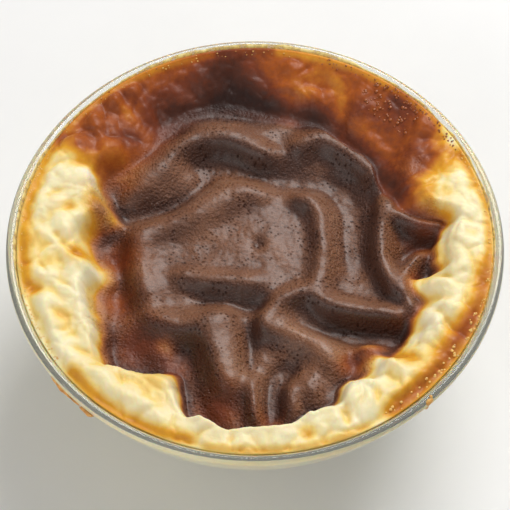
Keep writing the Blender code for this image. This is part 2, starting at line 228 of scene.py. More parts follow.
# Creases between the curds: depth, half width and path
CREASES = {
    "left crease": (1, 1, ((-48.5, 2), (-46.5, -0.3), (-44.5, -2.6), (-41.8, -4))),
    "left short crease": (0.7, 0.9, ((-47.5, -10.8), (-45.8, -11.9), (-43.6, -12.5))),
    "front left trough": (1.1, 2, ((-44.7, -22.4), (-42.2, -26.3), (-39.7, -30.1), (-34.4, -34.4))),
    "below the flap": (0.5, 1.2, ((-32, -37.4), (-28.2, -38.7), (-24.4, -41.4), (-21.6, -43.5))),
    "front right crease": (1.2, 1, ((21.1, -44.1), (20.8, -47.2), (21.5, -49.9))),
    "big lump crease": (1.1, 1, ((28.2, -39.3), (28.6, -41.9), (28.3, -44.6))),
    "inside the horseshoe": (1.3, 1.5, ((30.6, -35.5), (32, -37.4), (32.4, -39))),
    "right crease": (1, 1.1, ((45.2, -8.8), (48, -9.6), (50.5, -8.5))),
    "below the point": (1, 1.3, ((45.2, -21.3), (46.5, -23.5), (47.9, -25.2))),
}

# Pits of the ring and of the browned slope: x, y, radius and depth
PITS = (
    (-50.2, 13.7, 1.8, 0.8), (-51.8, 6, 1.8, 0.8), (-42, -3.4, 2.2, 1.2), (-49.4, -6, 2.2, 0.9),
    (-52.2, -13.3, 1.8, 1), (-45.7, -20.8, 1.8, 0.8), (-44.9, 9.4, 1.2, 0.5), (-0.5, -53, 1.8, 0.4),
    (16.9, -49.9, 1.2, 0.6), (12.2, -52.2, 1.4, 0.5), (-40, 22.4, 2.6, 1.1), (45, -8.5, 1.6, 0.6),
    (40.4, -29, 2.4, 0.9), (36.8, -31.8, 2, 0.9), (17.8, 48.5, 2.2, 0.8), (-30.3, 32, 3, 1.2),
    (-21.5, 40.9, 4, 0.8), (-5, 52.1, 4, 0.8),
)

# Curds of the ring: x, y, radius and height
CURDS = (
    (-45.6, 26.3, 4.2, 1.3), (-48.9, 18, 3, 0.9), (-42.6, 16.8, 4.8, 1.4), (-50.8, 11.4, 3.6, 1.3),
    (-45, 5.2, 3.8, 1.4), (-53.2, -0.3, 2.2, 0.5), (-43.8, -7.4, 2.8, 0.7), (-49.9, -9.6, 3, 1),
    (-50.1, -16.9, 3.2, 1.2), (-41.7, -13, 3.8, 1.1), (-47, -22.4, 2.6, 0.7), (-38.6, -34.7, 2.6, 0.9),
    (-35.3, -36.9, 2.2, 0.7), (-29.5, -41.9, 3, 0.9), (-25.7, -44.9, 2.2, 0.6),
    (-10.9, -49.1, 3.4, 1.1), (-1.6, -52, 3.4, 0.7), (6.2, -50.9, 2.4, 0.7), (15, -47.5, 4, 1.2),
    (24, -42, 4.8, 1.6), (26.1, -48.5, 2.4, 0.6), (33, -35, 3.4, 0.6), (48.5, 1.4, 3.6, 1.2),
    (48.4, -6.8, 3.4, 1.2), (53.2, -2, 2.4, 0.5), (40.2, -22.6, 4, 1.3), (47.2, -19.1, 2.8, 0.8),
    (39, -35.8, 3, 0.9), (51.2, 11, 4.2, 1), (49, 19.5, 4.2, 1.1), (-39.3, 34.6, 2.4, 0.8),
    (-35.2, 42.2, 2.2, 0.7), (-30.8, 45, 2.4, 0.8), (9.8, 51.7, 3, 0.7), (13.8, 45.7, 2.6, 0.6),
    (28.9, 31.8, 3, 0.5), (26.1, 50.1, 2.2, 0.6), (39.8, 17.4, 3, 0.4),
)

# Browning: level of each area, before its spots
CREAM_LEVEL = 0.03
BACK_LEVEL = 0.53
# Where the browned band starts and ends: bearing at the skin and at the glass, and its bend
BAND_RIGHT = (13.0, 31.0, 0.9)
BAND_LEFT = (153.0, 145.0, 1.0)
BAND_BLEND = 7.0
SKIN_LEVEL = 0.51
SIDE_BROWNING = (0.02, 0.06, 6.0)  # on the side, how much more at the rim, and how deep that goes
# Extra browning in the hollows of the ring and of the browned slope, part pooled milk and part painted
# shade, and painted shade in the hollows of the skin
POOLED_AND_PAINTED_SHADE = 0.08
POOLED_AND_PAINTED_SHADE_BACK = 0.08
PAINTED_SHADE_SKIN_HOLLOWS = 0.12
HOLLOW_CELL = 0.6  # grid on which hollows are found
# Hollows: width of their surroundings in cells, depth that counts in full, and weight
HOLLOW_SIZES = ((3.2, 0.7, 1.0), (1.2, 0.2, 0.5))
HOLLOW_BLUR = 0.9
# Painted shade and light on the skin, by how its slopes face the key light: slopes that face the front
# left are painted darker, and slopes that face the back right lighter. Extra darkening, the rise that gives
# it, the step over which the rise is measured, and the share of it, as lightening, on slopes that face away
PAINTED_SLOPE_SHADE = (0.22, 1.8, (0.7, 1.2), 0.35)
FRINGE = (0.12, 1.3)  # extra browning on the ring along the skin's edge, and how far it reaches
RING_WIDTH = 16.0  # about what a share of 1 measures

# Browning along a path: amount, half width and path
BROWNED_STREAKS = {
    "left glass band": (0.2, 1.7, ((-47, 32), (-53, 20), (-55.5, 9), (-55.7, -3), (-54, -14))),
    "front left glass band": (0.22, 1.5, ((-43.5, -35), (-36, -43.8), (-27, -50), (-14, -54))),
    "front glass line": (0.12, 1.1, ((-12, -55.8), (2, -56.8), (16, -54.8), (27, -49.8))),
    "right glass band": (0.37, 2.4, ((31, -47), (40, -38.5), (47, -29.5), (53, -18), (56, -5))),
    "right shoulder": (0.16, 2.4, ((42, -32), (46, -27), (51, -20))),
    "far right glass line": (0.16, 1.2, ((56.3, -5), (56.5, 8), (53, 20), (49, 29))),
    "pink flap": (0.34, 3, ((-38.5, 14), (-38, 10), (-37, 6))),
    "front right hollow": (0.08, 2.4, ((22.5, -32), (23, -29), (24, -27))),
    "front right lumps": (0.26, 3.2, ((27, -27), (32, -29), (36, -31.5))),
    "beside the spike": (0.12, 2.2, ((42, 1), (41.5, -4), (40.5, -9))),
    "right inner edge": (0.16, 1.6, ((39, -14), (37, -20), (32, -25))),
    # Painted shade: a darker band at the foot of the browned slope, where the skin's back crest shades it
    "shade painted at the foot of the slope": (
        0.2,
        2.4,
        ((36.5, 15), (32, 23), (27, 31.5), (17.6, 39.6), (6, 42.8), (-6, 45.6), (-18, 42)),
    ),
    "golden glass line": (-0.24, 0.9, ((50.2, 26.7), (43.6, 36.6), (32.6, 46.6), (19.5, 53.5), (5, 56.7))),
    "golden glass line, left": (-0.2, 0.9, ((-9.9, 56), (-24, 51.6), (-36.6, 43.6), (-45.4, 34.3))),
    "orange seam": (-0.12, 1.6, ((20, 50), (22, 44), (20.5, 38))),
}

# Places on the ring where a veil of skin lies over the cream: x, y, radius and amount
VEILS = (
    (-36, 16, 4, 0.6), (-37.5, 10.5, 2.6, 0.7), (-36.2, 7.6, 2.2, 0.7), (-37.5, -14, 2.6, 0.6),
    (-37, -20, 2.4, 0.6), (-18.5, -38, 1.6, 0.5), (24, -28, 3, 0.6), (42, 10, 3, 0.5),
    (24, 37, 3.6, 0.15), (38.5, 23, 3.4, 0.3),
)

# Places where the skin is thin and the red-brown milk under it shows: x, y, radius and amount
THIN_SKIN = (
    (-33, 0, 5, 0.9), (-33, -12, 5, 0.9), (-28, -24, 6, 0.9), (-20, -30, 5, 0.8), (-9, -42, 6, 0.8),
    (4, -45, 3.5, 0.5), (41, 5, 4.5, 0.8), (39.5, -8, 3, 0.8), (36, -22, 4, 0.6), (23, -30, 3.5, 0.9),
    (28, -27, 3.5, 0.8), (-32, 21, 4, 0.4),
)

# Browned spots: x, y, radius and amount, less where it is negative
BROWNED_SPOTS = (
    (-42, -3, 2.8, 0.3), (-40, 22.4, 3.4, -0.1), (-36, 28, 3, -0.08), (-46, -21, 2.6, 0.06),
    (-37, -32, 3, 0.06), (-24, -38.5, 4, 0.05), (-52, -13.5, 2, 0.12), (-50, -5.5, 2.2, 0.06),
    (36.8, -32.3, 2.4, 0.12), (-53.5, 0, 2.6, 0.1), (-44.5, 9.5, 1.6, 0.12), (12.2, -52.2, 1.8, 0.12),
    (-36, 41, 6, -0.02), (-31.4, 38.5, 2.6, -0.14), (-30.3, 32, 3.4, 0.16), (-40, 37, 3, -0.05),
    (-21.5, 42, 6, 0.24), (-10, 50, 7, 0.26), (-3, 47, 6, 0.3), (3, 44, 4, 0.16), (11, 52, 5, -0.06),
    (17.8, 48.5, 3.2, -0.1), (12.5, 45.5, 3, -0.1), (14, 39, 4, 0.2), (24, 36, 3.4, -0.12),
    (26, 41, 4, 0.1), (36, 42, 3.6, 0.18), (33, 37, 4, 0.06), (43, 24, 3, 0.06),
    (25.8, -30, 2.8, -0.18), (29, 32, 2.6, -0.04), (39, 28, 4, 0.08), (41, 18, 3.6, -0.08),
    (-1, -5.5, 1.8, -0.06), (-21.5, -24, 2.4, -0.26), (14, -27, 6, -0.05), (-8, 8, 9, -0.04),
    (-25, -30, 7, 0.13), (-29, -22, 5, 0.04), (-9, -42, 5, 0.06), (-31, 21, 6, -0.14),
    (28, -29, 3.6, -0.26), (23, -30.5, 2.2, 0.04), (-33, -3, 6, -0.09), (-6, -31, 5, -0.11),
    (11, -22.5, 6, -0.13), (17, -27, 5, -0.08), (-10, 16, 6, -0.06), (10, -22.5, 2.6, -0.05),
)

# Milk film on the glass: its lower edge, its usual upper edge, its highest, and where it climbs
# (bearing, half width, more)
FILM_FOOT = -1.4
FILM_LOW = -0.1
FILM_TOP = 1.7
FILM_REACH = ((90, 48, 1.5), (18, 22, 0.7), (170, 28, 0.9), (322, 16, 0.5))

# Sugar beads: first and last bearing, least and most distance from the glass, largest radius,
# paleness and count
BEAD_ZONES = (
    (150, 216, -0.05, 1.2, 0.26, 0.3, 150), (-24, 28, -0.05, 1.1, 0.26, 0.3, 120),
    (28, 75, 0.2, 1.6, 0.34, -0.4, 80), (42, 59, 1, 8, 0.55, -0.6, 70),
    (75, 150, 0.2, 1.6, 0.26, 0, 50), (303, 340, 0.2, 2.4, 0.5, 0.15, 46),
)

# Drips on the glass: bearing, way from the top of the inner face over the rim, half its extent along
# the rim, half its extent down the glass, and thickness
DRIPS = (
    (219.6, 6.4, 3.4, 0.8, 0.55), (224.4, 6.8, 1.7, 0.3, 0.25), (228.3, 7, 1.9, 0.9, 0.6),
    (312.8, 2.6, 1, 0.7, 0.15), (311.9, 4.3, 0.5, 0.5, 0.2), (313.8, 1.8, 0.4, 0.4, 0.15),
)

# Camera: where it stands and what it aims at, in metres
CAMERA_PLACE = (0.0, -0.33915, 0.58875)
CAMERA_AIM = (0.0, 0.0, 0.0395)
FOCAL_LENGTH = 187.6


def smoothstep(low, high, value):
    t = np.clip((value - low) / (high - low), 0.0, 1.0)
    return t * t * (3.0 - 2.0 * t)


def turned_from(centre, angle):
    """Difference between two bearings in degrees, from -180 to 180."""
    return (angle - centre + 180.0) % 360.0 - 180.0


def near(centre, spread, angle):
    """1 at the bearing centre, and less the farther a bearing is from it."""
    return np.exp(-((turned_from(centre, angle) / spread) ** 2))


def patch(x, y, cx, cy, radius, power=2):
    """1 in the middle of a round patch, and little outside its radius; flatter for a higher power."""
    return np.exp(-((np.hypot(x - cx, y - cy) / radius) ** power))


def patches(x, y, rows, power=2):
    """The patches of a table together."""
    return sum(amount * patch(x, y, cx, cy, radius, power) for cx, cy, radius, amount in rows)


# ---------------------------------------------------------------- outline of the bowl


def wall_points():
    """(lean, radius, height) along the bowl's outer face, from the rim down to the flat base."""
    lean_top = math.radians(WALL_LEAN)
    axis_r = RIM_RADIUS - WALL_CURVE * math.cos(lean_top)
    axis_z = BOWL_HEIGHT + WALL_CURVE * math.sin(lean_top)
    lean_foot = math.asin((axis_z - FOOT_CURVE) / (WALL_CURVE - FOOT_CURVE))
    points = []
    for lean in np.linspace(lean_top, lean_foot, WALL_STEPS + 1):
        radius, height = WALL_CURVE * math.cos(lean), WALL_CURVE * math.sin(lean)
        points.append((lean, axis_r + radius, axis_z - height))
    foot_r = points[-1][1] - FOOT_CURVE * math.cos(lean_foot)
    for lean in np.linspace(lean_foot, math.pi / 2, FOOT_STEPS + 1)[1:]:
        points.append((lean, foot_r + FOOT_CURVE * math.cos(lean), FOOT_CURVE * (1.0 - math.sin(lean))))
    return points


def inner_points(gap=0.0):
    """(radius, height) along the inner face, from the rim down, moved inwards by gap."""
    found = []
    lean_top = math.radians(WALL_LEAN)
    for lean, radius, height in wall_points():
        share = (lean - lean_top) / (math.pi / 2 - lean_top)
        depth = WALL + (BASE_THICKNESS - WALL) * share**2 + gap
        found.append((radius - depth * math.cos(lean), height + depth * math.sin(lean)))
    return found


def rim_section():
    """Lean of the wall at the rim, radius of the rounding, and its middle (radius, height)."""
    lean = math.radians(WALL_LEAN)
    rounding = WALL / 2
    return lean, rounding, RIM_RADIUS - rounding * math.cos(lean), BOWL_HEIGHT - rounding


def bowl_profile():
    """Half section, from the middle of the floor up the inner face, over the rim and down outside."""
    outer = [(radius, height) for _, radius, height in wall_points()]
    lean, rounding, middle_r, middle_z = rim_section()
    rim = []
    for turn in np.linspace(math.pi - lean, -lean, RIM_STEPS + 1):
        rim.append((middle_r + rounding * math.cos(turn), middle_z + rounding * math.sin(turn)))
    inner = [p for p in inner_points() if p[1] < rim[0][1] - 0.3]
    outer = [p for p in outer if p[1] < rim[-1][1] - 0.3]
    return [(0.0, BASE_THICKNESS), *reversed(inner), *rim, *outer, (0.0, 0.0)]


def side_radius(height):
    """Radius of the pudding's side at a height above the table."""
    radii, heights = zip(*reversed(inner_points(-CONTACT)))
    return float(np.interp(height, heights, radii))


def top_radius():
    """Radius of the pudding's top, where it meets the glass."""
    return side_radius(BOWL_HEIGHT - EDGE_DROP_FRONT)


# ---------------------------------------------------------------- relief of the pudding


def smooth_path(points, spacing):
    """Catmull-Rom curve through the points, with steps no longer than spacing."""
    p = np.array([points[0], *points, points[-1]], float)
    curve = []
    for a, b, c, d in zip(p, p[1:], p[2:], p[3:]):
        steps = math.ceil(math.dist(b, c) / spacing)
        for t in np.arange(steps) / steps:
            bend = (2 * a - 5 * b + 4 * c - d) * t**2 + (3 * b - a - 3 * c + d) * t**3
            curve.append(0.5 * (2 * b + (c - a) * t + bend))
    return np.array([*curve, p[-1]])


def swell(x, y, height, width, points):
    """A rounded ridge of the given height and half width along a smooth path, with soft ends."""
    path = smooth_path(points, PATH_SPACING * width)
    middles = (path[1:] + path[:-1]) / 2
    lengths = np.hypot(*(path[1:] - path[:-1]).T)
    total = np.zeros(np.shape(x))
    for (px, py), length in zip(middles, lengths):
        total += length * np.exp(-((x - px) ** 2 + (y - py) ** 2) / width**2)
    return height * total / (width * math.sqrt(math.pi))


def swells(x, y, table):
    """The ridges of a table together."""
    return sum(swell(x, y, *row) for row in table.values())


def skin_reach(angle):
    """Distance from the bowl's axis to the skin's edge, at a bearing in degrees."""
    bearings, reaches = np.array(SKIN_EDGE).T
    bearings = np.concatenate([bearings[-2:] - 360, bearings, bearings[:2] + 360])
    reaches = np.concatenate([reaches[-2:], reaches, reaches[:2]])
    slopes = np.gradient(reaches, bearings)
    angle = np.asarray(angle) % 360
    i = np.clip(np.searchsorted(bearings, angle) - 1, 0, len(bearings) - 2)
    step = bearings[i + 1] - bearings[i]
    t = (angle - bearings[i]) / step
    rise = reaches[i + 1] - reaches[i]
    bend = (1 - t) * (slopes[i] * step - rise) - t * (slopes[i + 1] * step - rise)
    return reaches[i] + t * rise + t * (1 - t) * bend


def backness(angle):
    """1 on the browned slope at the back, 0 on the pale ring."""
    off = np.abs(turned_from(BACK_CENTRE, angle))
    return 1.0 - smoothstep(BACK_SPREAD - BACK_BLEND, BACK_SPREAD + BACK_BLEND, off)


def limited(value, limit):
    """Follows value, and levels off softly below limit."""
    return value / (1.0 + np.clip(value / limit, 0.0, None) ** 4) ** 0.25


def skin_height(x, y):
    """Height of the skin, with its folds leaning over."""
    share, still, lean_x, lean_y = LEAN
    shift = share * (limited(swells(x, y, FOLDS), CREST_LIMIT) - still)
    relief = patches(x, y, (PLATEAU,), 4) - swells(x, y, FURROWS)
    relief = relief + swells(x + shift * lean_x, y + shift * lean_y, FOLDS)
    return FLOOR - limited(-limited(relief, CREST_LIMIT), FURROW_LIMIT)


def ring_height(x, y, share, angle):
    """Height of the ring and the browned slope, at a share of the way from the skin to the glass."""
    share = np.clip(share, 0.0, 1.0)
    at_back = backness(angle)
    edge_drop = EDGE_DROP_FRONT + (EDGE_DROP_BACK - EDGE_DROP_FRONT) * at_back
    centre, spread, wider = GENTLE_FACE
    face = smoothstep(0.0, RING_FACE + wider * near(centre, spread, angle), share)
    shoulder = smoothstep(RING_SHOULDER, 1.0, share) * (RING_CROWN + edge_drop)
    centre, spread, lower = LOW_FOOT
    foot = RING_FOOT - lower * near(centre, spread, angle)
    front = foot + (RING_CROWN - foot) * face - shoulder
    climb = (1.0 + BACK_ROUNDING) * share**2 / (share + BACK_ROUNDING)
    back = BACK_FOOT + (-edge_drop - BACK_FOOT) * climb
    relief = patches(x, y, CURDS, 4) - patches(x, y, PITS)
    relief = relief + swells(x, y, RING_FOLDS) - swells(x, y, CREASES)
    fade = smoothstep(*CURDS_RISE, share) * (1.0 - smoothstep(*CURDS_FALL, share))
    return front + (back - front) * at_back + fade * relief


def cloud(x, y, kind, z=0.0):
    """Smooth noise around 0, of a kind (strength, size of its lumps, seed)."""
    strength, size, seed = kind
    spots = zip(x / size + seed, y / size - seed, np.broadcast_to(z, np.shape(x)) + seed)
    return strength * np.array([noise.fractal(spot, 1.0, 2.0, 2) for spot in spots])


def curds(x, y, kind):
    """Rounded lumps packed side by side, from 0 in the creases between them to the strength on top."""
    strength, size, seed = kind
    bent = cloud(x, y, (0.35, 0.8 * size, seed + 3.3))
    spots = zip(x / size + seed + bent, y / size - seed - bent, np.full(np.shape(x), seed))
    reaches = np.array([noise.voronoi(spot, distance_metric="DISTANCE")[0][:2] for spot in spots])
    away = np.clip((reaches[:, 1] - reaches[:, 0]) / 0.8, 0.0, 1.0)
    return strength * (away * (2.0 - away))


def top_surface(x, y, edge_radius):
    """Height above the rim, colour share of the skin, and share of the ring's width at each point."""
    radius = np.hypot(x, y)
    angle = np.degrees(np.arctan2(y, x))
    reach = skin_reach(angle) + cloud(x, y, EDGE_WAVER)
    share = (radius - reach) / (edge_radius - reach)
    inwards = outwards = stained = 0.0
    for centre, spread, more_in, more_out, run in SOFT_EDGES:
        soft = near(centre, spread, angle)
        inwards = inwards + more_in * soft
        outwards = outwards + more_out * soft
        stained = stained + run * soft
    inside = 1.0 - smoothstep(SKIN_BLEND[0] - inwards, SKIN_BLEND[1] + outwards, radius - reach)
    at_back = backness(angle)
    ring = ring_height(x, y, share, angle)
    height = ring + (skin_height(x, y) - ring) * inside

    on_ring = (1.0 - inside) * smoothstep(*LUMPS_RISE, share) * (1.0 - smoothstep(*LUMPS_FALL, share))
    lumps = curds(x, y, LARGE_LUMPS) * (1.0 - LUMPS_CALMED * at_back) + curds(x, y, SMALL_LUMPS)
    lumps += cloud(x, y, ROUGH_LUMPS, height / 1.6)
    height = height + on_ring * (lumps - 0.5)
    wrinkles = cloud(x, y, BROAD_WRINKLES) - np.abs(cloud(x, y, SHARP_WRINKLES))
    height = height + inside * (wrinkles + cloud(x, y, FINE_WRINKLES))

    lip_height, lip_width = EDGE_LIP
    film = np.exp(-(((edge_radius - radius) / lip_width) ** 2))
    height = height + film * lip_height * (1.0 - 0.5 * at_back)
    first, last, more_back = SKIN_TINT
    skin = 1.0 - smoothstep(first - stained, last + more_back * at_back + outwards, radius - reach)
    return height, skin, share


def softened(field, cells):
    """A square field blurred by about so many cells."""
    reach = int(3 * cells)
    weights = np.exp(-((np.arange(-reach, reach + 1) / cells) ** 2))
    weights /= weights.sum()
    for _ in range(2):
        padded = np.pad(field, ((reach, reach), (0, 0)), mode="edge")
        field = sum(w * padded[i : i + len(field)] for i, w in enumerate(weights)).T
    return field


def browned_band(x, y, share):
    """1 in the browned band at the back, 0 on the pale ring."""
    angle = np.degrees(np.arctan2(y, x)) + cloud(x, y, BAND_WAVER) + cloud(x, y, BAND_FRAY)
    share = np.clip(share, 0.0, 1.0)
    first, last = (a + (b - a) * share**bend for a, b, bend in (BAND_RIGHT, BAND_LEFT))
    starts = smoothstep(-BAND_BLEND, BAND_BLEND, turned_from(first, angle))
    return starts * smoothstep(-BAND_BLEND, BAND_BLEND, turned_from(angle, last))


def browning(x, y, skin, band, share, hollow):
    """Level from 0 to 1 at each point of the top, from its shares of skin, band, ring and hollow."""
    # Hollows are darker: part pooled milk and part painted shade on the ring and the browned slope, painted
    # shade on the skin
    pale = CREAM_LEVEL + POOLED_AND_PAINTED_SHADE * hollow
    level = pale + (BACK_LEVEL + POOLED_AND_PAINTED_SHADE_BACK * hollow - pale) * band
    amount, reach = FRINGE
    outside = np.clip(share, 0.0, None) * RING_WIDTH / (1.0 + cloud(x, y, FRINGE_WAVER))
    level = level + amount * np.exp(-((outside / reach) ** 1.5)) * (1.0 - band)
    # Painted shade: skin slopes turned from the key light are darker, and slopes turned to it lighter
    amount, rise, (step_x, step_y), away = PAINTED_SLOPE_SHADE
    facing = skin_height(x + step_x, y + step_y) - skin_height(x - step_x, y - step_y)
    turned = np.tanh(facing / rise)
    turned = np.where(turned > 0, turned, away * turned)
    level = level + (SKIN_LEVEL + PAINTED_SHADE_SKIN_HOLLOWS * hollow + amount * turned - level) * skin
    level = level + swells(x, y, BROWNED_STREAKS) + patches(x, y, BROWNED_SPOTS)
    return np.clip(level, 0.0, 1.0)


# ---------------------------------------------------------------- meshes and materials


def finish_piece(made, name, finish):
    """Puts a bmesh into the scene as a smooth piece that belongs to the object."""
    for face in made.faces:
        face.smooth = True
    mesh = bpy.data.meshes.new(name)
    made.to_mesh(mesh)
    made.free()
    mesh.materials.append(finish)
    piece = bpy.data.objects.new(name, mesh)
    bpy.context.scene.collection.objects.link(piece)
    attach(piece, "root")
    return piece


def store(mesh, name, values):
    """Keeps one number per vertex on the mesh."""
    kept = mesh.attributes.new(name, "FLOAT", "POINT")
    kept.data.foreach_set("value", np.asarray(values, np.float32))


def new_material(name):
    """(material, its Principled shader, a function that adds a node, one that fills its inputs)."""
    made = bpy.data.materials.new(name)
    made.use_nodes = True
    tree = made.node_tree

    def fill(node, inputs):
        """Sets numbers and colours on a node's inputs, and links outputs of other nodes to them."""
        for key, value in inputs.items():
            if isinstance(value, bpy.types.NodeSocket):
                tree.links.new(value, node.inputs[key])
            else:
                node.inputs[key].default_value = value

    def add(kind, *inputs, **values):
        """A new node with its first inputs filled, and its properties and other inputs set by name."""
        node = tree.nodes.new(kind)
        for key, value in values.items():
            if hasattr(node, key):
                setattr(node, key, value)
            else:
                fill(node, {key: value})
        fill(node, dict(enumerate(inputs)))
        return node

    return made, tree.nodes["Principled BSDF"], add, fill


def ramp(add, source, *stops):
    """The source turned into colours, with stops as (position, colour) or (position, grey)."""
    node = add("ShaderNodeValToRGB", source)
    elements = node.color_ramp.elements
    for _ in range(len(stops) - 2):
        elements.new(0.5)
    for element, (position, colour) in zip(elements, stops):
        element.position = position
        element.color = (*colour, 1.0) if hasattr(colour, "__len__") else (colour, colour, colour, 1.0)
    return node.outputs["Color"]


def maths(add, operation, *inputs):
    """The result of an operation on numbers and on the outputs of other nodes."""
    return add("ShaderNodeMath", *inputs, operation=operation).outputs["Value"]


def glass_material(settings):
    made, shader, add, fill = new_material("clear bowl glass")
    place = add("ShaderNodeTexCoord").outputs["Object"]
    smears = add("ShaderNodeTexNoise", place, Scale=140.0, Detail=3.0).outputs["Fac"]
    look = {
        "Base Color": (*settings.tint, 1.0),
        "Transmission Weight": 0.84,
        "IOR": 1.45,
        "Roughness": ramp(add, smears, (0.45, 0.012), (0.75, 0.05)),
    }
    fill(shader, look)
    # Light passes on its way to the pudding and the table, so that the glass casts a pale shadow
    in_shadow = add("ShaderNodeLightPath").outputs["Is Shadow Ray"]
    clear = add("ShaderNodeBsdfTransparent", Color=(0.90, 0.93, 0.90, 1.0)).outputs["BSDF"]
    both = add("ShaderNodeMixShader", in_shadow, shader.outputs["BSDF"], clear).outputs["Shader"]
    fill(made.node_tree.nodes["Material Output"], {"Surface": both})
    return made


def pudding_material(settings):
    made, shader, add, fill = new_material("baked rice cream and milk skin")
    place = add("ShaderNodeTexCoord").outputs["Object"]
    bake = add("ShaderNodeAttribute", attribute_name="browning").outputs["Fac"]
    skin = add("ShaderNodeAttribute", attribute_name="skin").outputs["Fac"]

    # Browning is mottled at two sizes, most where it is half done
    blotches = add("ShaderNodeTexNoise", place, Scale=120.0, Detail=3.0, Roughness=0.5).outputs["Fac"]
    flecks = add("ShaderNodeTexNoise", place, Scale=900.0, Detail=3.0, Roughness=0.6).outputs["Fac"]
    centred = maths(add, "SUBTRACT", maths(add, "MULTIPLY_ADD", flecks, 0.5, blotches), 0.75)
    strength = ramp(add, bake, (0.0, 0.05), (0.15, 0.12), (0.35, 0.2), (0.55, 0.28), (1.0, 0.2))
    level = maths(add, "MULTIPLY_ADD", centred, strength, bake)
    colours = ramp(
        add,
        level,
        (0.0, settings.cream),
        (0.1, settings.butter),
        (0.22, settings.gold),
        (0.36, settings.amber),
        (0.5, settings.russet),
        (0.64, settings.mahogany),
        (0.8, settings.chestnut),
        (1.0, settings.char),
    )

    # The skin has browns of its own; swarms of pores break it up, and smooth is 0 in them. The pores are
    # painted darker, as painted shade in the pits
    pores = add("ShaderNodeTexVoronoi", place, Scale=800.0, Randomness=1.0, voronoi_dimensions="2D")
    between = ramp(add, pores.outputs["Distance"], (0.08, 0.0), (0.28, 1.0))
    swarms = add("ShaderNodeTexNoise", place, Scale=210.0, Detail=1.0).outputs["Fac"]
    smooth = maths(add, "MAXIMUM", between, ramp(add, swarms, (0.48, 1.0), (0.6, 0.0)))
    in_pores = maths(add, "MULTIPLY_ADD", smooth, -0.1, level)
    leathers = ramp(
        add,
        maths(add, "ADD", in_pores, 0.12),
        (0.3, settings.skin_tan),
        (0.5, settings.skin_brown),
        (0.7, settings.skin_dark),
        (1.0, settings.char),
    )
    blend = add("ShaderNodeMix", data_type="RGBA")
    fill(blend, {0: skin, 6: colours, 7: leathers})

    # The skin is leathery and grainy; the cream is only a little uneven
    leather = add("ShaderNodeTexVoronoi", place, Scale=1500.0, Randomness=1.0, feature="SMOOTH_F1")
    sparkle = add("ShaderNodeTexNoise", place, Scale=1700.0, Detail=2.0).outputs["Fac"]
    grain = maths(add, "MULTIPLY_ADD", sparkle, 2.0, flecks)
    grain = maths(add, "MULTIPLY_ADD", leather.outputs["Distance"], -1.0, grain)
    masked = maths(add, "MULTIPLY", maths(add, "ADD", grain, smooth), skin)
    raised = maths(add, "MULTIPLY_ADD", flecks, 0.22, masked)
    bump = add("ShaderNodeBump", Strength=0.9, Distance=0.0005, Height=raised)

    film = maths(add, "MULTIPLY", skin, smooth)
    look = {
        "Base Color": blend.outputs[2],
        "Subsurface Weight": ramp(add, level, (0.0, 0.55), (0.35, 0.25), (0.6, 0.06)),
        "Subsurface Radius": (1.0, 0.55, 0.22),
        "Subsurface Scale": 0.0011,
        "Normal": bump.outputs["Normal"],
        "Roughness": ramp(add, flecks, (0.35, 0.34), (0.65, 0.56)),
        "Specular IOR Level": 0.24,
        "Coat Roughness": 0.38,
        "Coat Weight": maths(add, "MULTIPLY_ADD", film, 0.65, 0.05),
    }
    fill(shader, look)
    return made


def caramel_material(name, light, dark, solid):
    """Baked-on sugar and milk: amber, glossy, browner in places, and clear where solid is low."""
    made, shader, add, fill = new_material(name)
    place = add("ShaderNodeTexCoord").outputs["Object"]
    tone = add("ShaderNodeTexNoise", place, Scale=600.0, Detail=3.0).outputs["Fac"]
    pale = add("ShaderNodeAttribute", attribute_name="paleness").outputs["Fac"]
    bump = add("ShaderNodeBump", Strength=0.3, Distance=0.0001, Height=tone)
    look = {
        "Base Color": ramp(add, maths(add, "ADD", tone, pale), (0.35, dark), (0.65, light)),
        "Roughness": ramp(add, tone, (0.3, 0.22), (0.7, 0.4)),
        "Alpha": ramp(add, tone, (0.3, solid), (0.55, 1.0)),
        "Subsurface Weight": 0.3,
        "Subsurface Radius": (1.0, 0.5, 0.2),
        "Subsurface Scale": 0.0006,
        "Normal": bump.outputs["Normal"],
    }
    fill(shader, look)
    return made


# ---------------------------------------------------------------- settings


def colour(name, description, default):
    return bpy.props.FloatVectorProperty(
        name=name, description=description, default=default, size=3, min=0.0, max=1.0, subtype="COLOR"
    )


def number(name, description, default, unit="NONE"):
    return bpy.props.FloatProperty(
        name=name, description=description, default=default, min=0.0, unit=unit
    )


class BowlSettings(bpy.types.PropertyGroup):
    turn_steps: bpy.props.IntProperty(
        name="Turn Steps", description="Sides of the turned glass", default=192, min=48
    )
    tint: colour("Glass Tint", "Colour of the clear glass", (0.93, 0.955, 0.935))


class PuddingSettings(bpy.types.PropertyGroup):
    cells: bpy.props.IntProperty(
        name="Cells", description="Grid cells across the pudding's top", default=290, min=60, max=292
    )
    cream: colour("Cream", "Unbrowned rice cream", (0.95, 0.89, 0.65))
    butter: colour("Butter", "Cream with its first colour", (0.91, 0.68, 0.23))
    gold: colour("Gold", "Golden milk in the hollows", (0.76, 0.37, 0.025))
    amber: colour("Amber", "Amber browning", (0.58, 0.21, 0.02))
    russet: colour("Russet", "Orange-brown browning", (0.38, 0.09, 0.011))
    mahogany: colour("Mahogany", "Red-brown skin", (0.19, 0.04, 0.013))
    chestnut: colour("Chestnut", "Dark brown skin", (0.075, 0.02, 0.01))
    char: colour("Char", "The darkest skin", (0.026, 0.008, 0.005))
    skin_tan: colour("Tan Skin", "The lightest milk skin", (0.36, 0.175, 0.098))
    skin_brown: colour("Brown Skin", "Milk skin of middle browning", (0.215, 0.084, 0.037))
    skin_dark: colour("Dark Skin", "Dark milk skin", (0.075, 0.022, 0.009))


